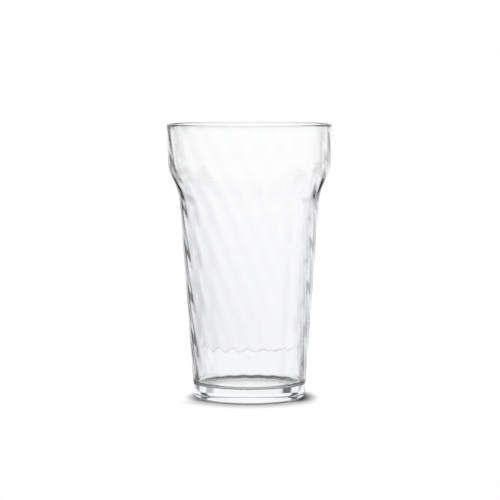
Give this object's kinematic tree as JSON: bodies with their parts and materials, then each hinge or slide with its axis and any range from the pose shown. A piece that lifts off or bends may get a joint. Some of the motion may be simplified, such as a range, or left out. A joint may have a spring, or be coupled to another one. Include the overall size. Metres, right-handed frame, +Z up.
{
  "type": "pint glass",
  "caption": "Clear drinking glass with an upright collar, a stepped shoulder, a tapered body with shallow spiral ribs inside, and a thick foot.",
  "frame": {"origin": "on the table, at the centre of the foot", "axes": "+Z up along the glass's axis, towards the rim; the glass is round, so X and Y are any two level directions"},
  "size_m": [0.0916, 0.0916, 0.153],
  "materials": {
    "clear_glass": "clear, fire-polished"
  },
  "bodies": {
    "root": {"glass_body": "clear_glass"}
  },
  "joints": []
}
